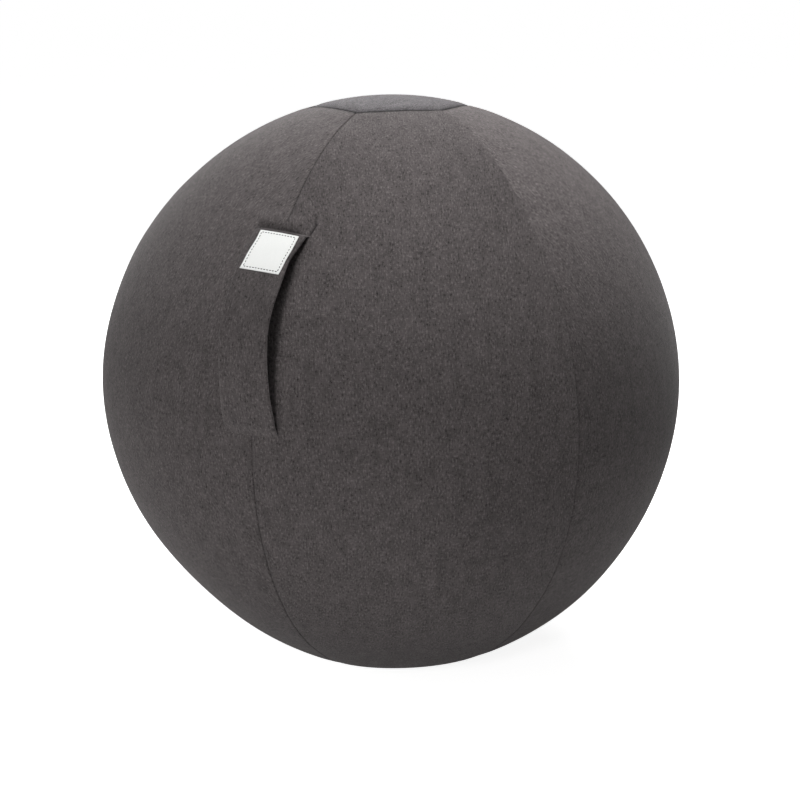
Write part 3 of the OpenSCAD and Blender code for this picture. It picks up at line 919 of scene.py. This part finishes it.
def bladder():
    """The inflated ball inside the cover, open at its valve, with a tiny hole opposite."""
    axis = np.array([0, math.sin(VALVE_AT), math.cos(VALVE_AT)])
    side = np.array([1.0, 0, 0])
    up = np.cross(axis, side)
    near = np.append(VALVE_HOLE_R, np.array([11, 13, 16, 20, 24, 28, 33, 38, 44]) * MM)
    near = np.arcsin(near / BLADDER_R)
    psi = np.concatenate([near, np.linspace(near[-1], math.pi - BLADDER_END, BLADDER_ROWS)[1:]])[:, None]
    turn = np.linspace(0, 2 * math.pi, BLADDER_COLUMNS, endpoint=False)[None, :]
    out = (np.cos(psi)[..., None] * axis + (np.sin(psi) * np.cos(turn))[..., None] * side
           + (np.sin(psi) * np.sin(turn))[..., None] * up)
    away = BALL_R * psi
    r = BLADDER_R - BLADDER_DEEPER * ramp(away, *BLADDER_LEVEL)
    r = r + bell(away - BALL_R * math.pi / 2, MOULD_SEAM_W, MOULD_SEAM_H) + uneven(out)
    outer = CENTRE + out * r[..., None]
    inner = CENTRE + out * (r - BLADDER_T)[..., None]
    for points, low in ((outer, BLADDER_FLOOR), (inner, BLADDER_FLOOR + BLADDER_T)):
        points[..., 2] = np.maximum(points[..., 2], low)
    piece = shell("air_bladder", outer, inner, cloth_map(away, BALL_R * turn), True)
    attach(piece, "root")
    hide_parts("bladder")
    return piece


# Materials.
class Nodes:
    """Makes and links the nodes of a material or a world."""

    def __init__(self, owner):
        self.owner = owner
        owner.use_nodes = True
        self.tree = owner.node_tree
        self.tree.nodes.clear()

    def add(self, kind, inputs=None, **values):
        node = self.tree.nodes.new(kind)
        for key, value in values.items():
            setattr(node, key, value)
        for key, value in (inputs or {}).items():
            if isinstance(value, bpy.types.NodeSocket):
                self.tree.links.new(value, node.inputs[key])
            else:
                node.inputs[key].default_value = value
        return node

    def math(self, operation, a, b=0.0, c=0.0):
        return self.add("ShaderNodeMath", {0: a, 1: b, 2: c}, operation=operation).outputs[0]

    def grain(self, u, v, across, along, detail=1.0, rough=0.5):
        """Noise from 0 to 1 over the cloth map, in grains of about the given size. All are in millimetres."""
        u, v = self.math("DIVIDE", u, across), self.math("DIVIDE", v, along)
        place = self.add("ShaderNodeCombineXYZ", {0: u, 1: v}).outputs[0]
        values = {"Vector": place, "Scale": 1.0, "Detail": detail, "Roughness": rough}
        return self.add("ShaderNodeTexNoise", values, noise_dimensions="2D").outputs[0]

    def uv(self, layer):
        place = self.add("ShaderNodeUVMap", uv_map=layer).outputs[0]
        return self.add("ShaderNodeSeparateXYZ", {0: place}).outputs

    def step(self, value, low, high):
        return self.add("ShaderNodeMapRange", {0: value, 1: low, 2: high, 3: 0.0, 4: 1.0},
                        interpolation_type="SMOOTHSTEP").outputs[0]

    def tinted(self, colour, value):
        return self.add("ShaderNodeVectorMath", {0: colour, 3: value}, operation="SCALE").outputs[0]

    def bumped(self, height, strength, distance):
        values = {"Height": height, "Strength": strength, "Distance": distance}
        return self.add("ShaderNodeBump", values).outputs[0]

    def seen(self):
        """1 for rays that show a background: from the camera, mirrored, or let through."""
        path = self.add("ShaderNodeLightPath").outputs
        straight = self.math("MAXIMUM", path["Is Camera Ray"], path["Is Glossy Ray"])
        return self.math("MAXIMUM", straight, path["Is Transmission Ray"])

    def principled(self, values):
        shader = self.add("ShaderNodeBsdfPrincipled", values)
        self.add("ShaderNodeOutputMaterial", {"Surface": shader.outputs[0]})
        return self.owner


def srgb(*values):
    """The linear colour of an sRGB one whose values, of 255, are all over 10."""
    return [((v / 255 + 0.055) / 1.055) ** 2.4 for v in values]


# The cloth's grains, in millimetres across and along it, and how far two of them are moved in the noise.
WARP, WEFT, SPECK, CLOUD = (1.35, 7.0), (4.0, 1.25), (1.7, 3.2), (16.0, 24.0)
WEFT_APART, SPECK_APART = 311.0, 97.0
LIGHT_SPECKS, DARK_SPECKS, RIDGE_PAINTED_LIGHT = 0.60, -0.45, 0.10


def weave(name, colour, thread=0.85, contrast=0.9, flecks=1.0, mottle=0.8, sheen=0.12,
          bump=0.16, rough=0.9):
    """A plain weave of mixed light and dark yarns."""
    n = Nodes(bpy.data.materials.new(name))
    u, v, _ = n.uv("cloth")
    warp = n.grain(u, v, *WARP)
    weft = n.grain(n.math("ADD", u, WEFT_APART), v, *WEFT)
    waves = [n.math("SINE", n.math("MULTIPLY", place, math.pi / thread)) for place in (u, v)]
    over = n.math("MULTIPLY", *waves)
    ridge = n.math("ABSOLUTE", over)
    yarn = n.add("ShaderNodeMix", {0: n.step(over, -0.35, 0.35), 2: weft, 3: warp}, data_type="FLOAT")
    yarn = n.math("SUBTRACT", yarn.outputs[0], 0.5)
    speck = n.grain(u, n.math("ADD", v, SPECK_APART), *SPECK)
    cloud = n.math("SUBTRACT", n.grain(u, v, *CLOUD, 2.0, 1.0), 0.5)
    value = n.math("MULTIPLY_ADD", yarn, contrast, 1.0)
    value = n.math("MULTIPLY_ADD", n.step(speck, 0.60, 0.74), LIGHT_SPECKS * flecks, value)
    value = n.math("MULTIPLY_ADD", n.step(speck, 0.40, 0.26), DARK_SPECKS * flecks, value)
    value = n.math("MULTIPLY_ADD", cloud, mottle, value)
    # Yarn tops painted lighter and the gaps between yarns darker: a painted highlight and painted shade on
    # the weave.
    value = n.math("MULTIPLY_ADD", ridge, RIDGE_PAINTED_LIGHT, n.math("SUBTRACT", value, RIDGE_PAINTED_LIGHT / 2))
    # The shade layer holds painted shade and, below 0, painted light: it darkens or lightens the colour.
    value = n.math("MULTIPLY", value, n.math("SUBTRACT", 1.0, n.uv("shade")[0]))
    height = n.math("MULTIPLY_ADD", ridge, 0.6, n.math("MULTIPLY", yarn, 1.2))
    normal = n.bumped(height, 0.8, bump * MM)
    return n.principled({"Base Color": n.tinted(colour, value), "Roughness": rough, "Normal": normal,
                         "Sheen Weight": sheen, "Sheen Roughness": 0.45,
                         "Sheen Tint": (0.9, 0.88, 0.88, 1), "Specular IOR Level": 0.1})


def speckled(name, colour, rough=0.5, metallic=0.0, scale=900.0, amount=0.15, bump=0.02,
             coat=0.0, rough_by=0.12):
    """Moulded plastic or metal with fine grain, slight unevenness and faint wear."""
    n = Nodes(bpy.data.materials.new(name))
    place = n.add("ShaderNodeTexCoord").outputs["Object"]
    fine = n.add("ShaderNodeTexNoise", {"Vector": place, "Scale": scale, "Detail": 3.0}).outputs[0]
    broad = n.add("ShaderNodeTexNoise", {"Vector": place, "Scale": scale / 14, "Detail": 4.0}).outputs[0]
    off = n.math("SUBTRACT", broad, 0.5)
    value = n.math("MULTIPLY_ADD", off, amount, 1.0)
    value = n.math("MULTIPLY_ADD", n.math("SUBTRACT", fine, 0.5), amount * 0.6, value)
    rough = n.math("MULTIPLY_ADD", off, rough_by, rough)
    normal = n.bumped(fine, 0.5, bump * MM)
    return n.principled({"Base Color": n.tinted(colour, value), "Metallic": metallic, "Roughness": rough,
                         "Normal": normal, "Coat Weight": coat, "Specular IOR Level": 0.5})


MATERIALS = {
    "cover": weave("mixed_yarn_cloth", srgb(88, 83, 83)),
    # The top panel's cloth is painted lighter than the gores', a painted highlight for the light on the
    # ball's top.
    "top": weave("top_panel_painted_light_cloth", srgb(98, 95, 97)),
    "strap": weave("strap_cloth", srgb(89, 84, 84)),
    "label": weave("label_weave", srgb(237, 238, 236), thread=0.35, contrast=0.05, flecks=0, mottle=0.02,
                   sheen=0.15, bump=0.05, rough=0.7),
    "webbing": weave("webbing", srgb(38, 37, 38), thread=1.4, contrast=0.4, flecks=0.3, bump=0.3),
    "tape": weave("zip_tape_weave", srgb(42, 40, 41), thread=0.5, contrast=0.25, flecks=0.1, bump=0.1),
    "thread": speckled("sewing_thread", srgb(36, 36, 40), rough=0.75, scale=4000, amount=0.3),
    "seam_thread": speckled("cover_thread", srgb(70, 66, 66), rough=0.8, scale=4000, amount=0.3),
    "teeth": speckled("moulded_teeth", srgb(46, 45, 46), rough=0.42, scale=1500),
    "metal": speckled("painted_metal", srgb(84, 82, 83), rough=0.36, metallic=0.85, scale=1200, amount=0.2),
    "bladder": speckled("soft_plastic", srgb(122, 124, 132), rough=0.45, scale=700, coat=0.1),
    "valve": speckled("white_plastic", srgb(228, 228, 225), rough=0.4, amount=0.05),
}


def dress(piece, key):
    piece.data.materials.clear()
    piece.data.materials.append(MATERIALS[key])


def dress_node(node, key):
    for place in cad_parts[node].material_slots:
        place.material = MATERIALS[key]


# The camera, solved from the photo's outline, seams and panel corners.
CAMERA_AZIMUTH = math.radians(25.3)
CAMERA_RISE = math.radians(14.6)
CAMERA_ROLL = math.radians(-0.65)
CAMERA_AWAY = 5.75 * BALL_R
CAMERA_LENS = 72.8
CAMERA_SHIFT = (0.0092, -0.0250)

# The lamps: name, place, width in metres and power in watts. All of them face the ball's middle.
LAMP_AIM = (0, 0, 0.33)
LAMPS = (("top_soft", (0.27, 0.13, 2.32), 0.8, 39.5), ("front_soft", (0.30, -2.10, 0.95), 0.32, 10.3),
         ("front_left_soft", (-0.58, -2.04, 0.85), 1.0, 3.9), ("left_wide", (-2.1, -0.3, 0.9), 2.2, 4.6),
         ("back_left_soft", (-1.0, 1.5, 1.4), 1.0, 15), ("back_top_soft", (0.1, 1.5, 1.9), 0.8, 4.5))
WORLD_LIGHT = 0.012
FLOOR_HALF = 30
FLOOR_LIGHT = (0.8, 0.8, 0.8, 1)
FLOOR_GLOW, FLOOR_GLOW_MORE, FLOOR_GLOW_REACH = 0.890, 0.10, 0.9


def camera():
    data = bpy.data.cameras.new("camera")
    data.lens = CAMERA_LENS
    data.sensor_width = 36
    data.shift_x, data.shift_y = CAMERA_SHIFT
    data.clip_end = 100
    cam = linked("camera", data)
    out = Vector(direction(math.pi / 2 - CAMERA_RISE, CAMERA_AZIMUTH - math.pi / 2))
    turn = (-out).to_track_quat("-Z", "Y").to_matrix().to_4x4()
    roll_by = Matrix.Rotation(CAMERA_ROLL, 4, "Z")
    cam.matrix_world = Matrix.Translation(Vector(CENTRE) + out * CAMERA_AWAY) @ turn @ roll_by
    bpy.context.scene.camera = cam


def lamp(name, place, size, power):
    data = bpy.data.lights.new(name, "AREA")
    data.shape = "DISK"
    data.size = size
    data.energy = power
    light = linked(name, data)
    light.location = place
    light.rotation_euler = (Vector(LAMP_AIM) - Vector(place)).to_track_quat("-Z", "Y").to_euler()


def backdrop():
    """A world that looks white but lights the ball faintly."""
    world = bpy.data.worlds.new("studio")
    bpy.context.scene.world = world
    n = Nodes(world)
    dim, white = (n.add("ShaderNodeBackground", {0: (1, 1, 1, 1), 1: light}) for light in (WORLD_LIGHT, 1))
    mix = n.add("ShaderNodeMixShader", {0: n.seen(), 1: dim.outputs[0], 2: white.outputs[0]})
    n.add("ShaderNodeOutputWorld", {0: mix.outputs[0]})


def floor():
    """A floor that looks white, a little less near the ball, and keeps the ball's shadow."""
    corners = [[-1, -1, 0], [1, -1, 0], [1, 1, 0], [-1, 1, 0]]
    piece = new_object("floor", FLOOR_HALF * np.array(corners, float), [[0, 1, 2, 3]])
    n = Nodes(bpy.data.materials.new("floor"))
    place = n.add("ShaderNodeTexCoord").outputs["Object"]
    away = n.add("ShaderNodeVectorMath", {0: place}, operation="LENGTH").outputs["Value"]
    white = n.math("MULTIPLY_ADD", n.step(away, 0.0, FLOOR_GLOW_REACH), FLOOR_GLOW_MORE, FLOOR_GLOW)
    glow = n.add("ShaderNodeEmission", {"Strength": n.math("MULTIPLY", n.seen(), white)}).outputs[0]
    plain = n.add("ShaderNodeBsdfDiffuse", {"Color": FLOOR_LIGHT}).outputs[0]
    both = n.add("ShaderNodeAddShader", {0: plain, 1: glow})
    n.add("ShaderNodeOutputMaterial", {0: both.outputs[0]})
    piece.data.materials.append(n.owner)


# The zip's rigid pieces: node, body, name, bevel and its segments, slot and material.
ZIP_PIECES = (("zip_slider", "slider", "slider_body", 0.25 * MM, 3, "zip_metal", "metal"),
              ("zip_pull", "pull", "pull_tab", 0.3 * MM, 3, "zip_metal", "metal"),
              ("zip_teeth_left", "root", "teeth_left", 0.12 * MM, 1, "zip_teeth", "teeth"),
              ("zip_teeth_right", "root", "teeth_right", 0.12 * MM, 1, "zip_teeth", "teeth"),
              ("zip_top_stops", "root", "top_stops", 0.2 * MM, 3, "zip_metal", "metal"),
              ("zip_bottom_stop", "root", "bottom_stop", 0.2 * MM, 3, "zip_metal", "metal"))

camera()
for number in range(1, 7):
    dress(gore(number), "cover")
dress(end_panel("cover_top_panel", 1, "top_panel"), "top")
dress(end_panel("cover_bottom_panel", -1, "bottom_panel"), "cover")
for upper in (True, False):
    dress(sleeve(upper), "strap")
    dress(core(upper), "webbing")
    dress(hem(upper), "strap")
dress(label(), "label")
dress(label_stitches(), "thread")
dress(zip_tape(-1, "left"), "tape")
dress(zip_tape(1, "right"), "tape")
dress(zip_stitching(), "seam_thread")
for *solid, key in ZIP_PIECES:
    dress(bevelled(*solid), key)
dress(bladder(), "bladder")
dress_node("valve_seat", "valve")
dress_node("valve_plug", "valve")
for lamp_sizes in LAMPS:
    lamp(*lamp_sizes)
backdrop()
floor()
bpy.context.scene.view_settings.view_transform = "Standard"
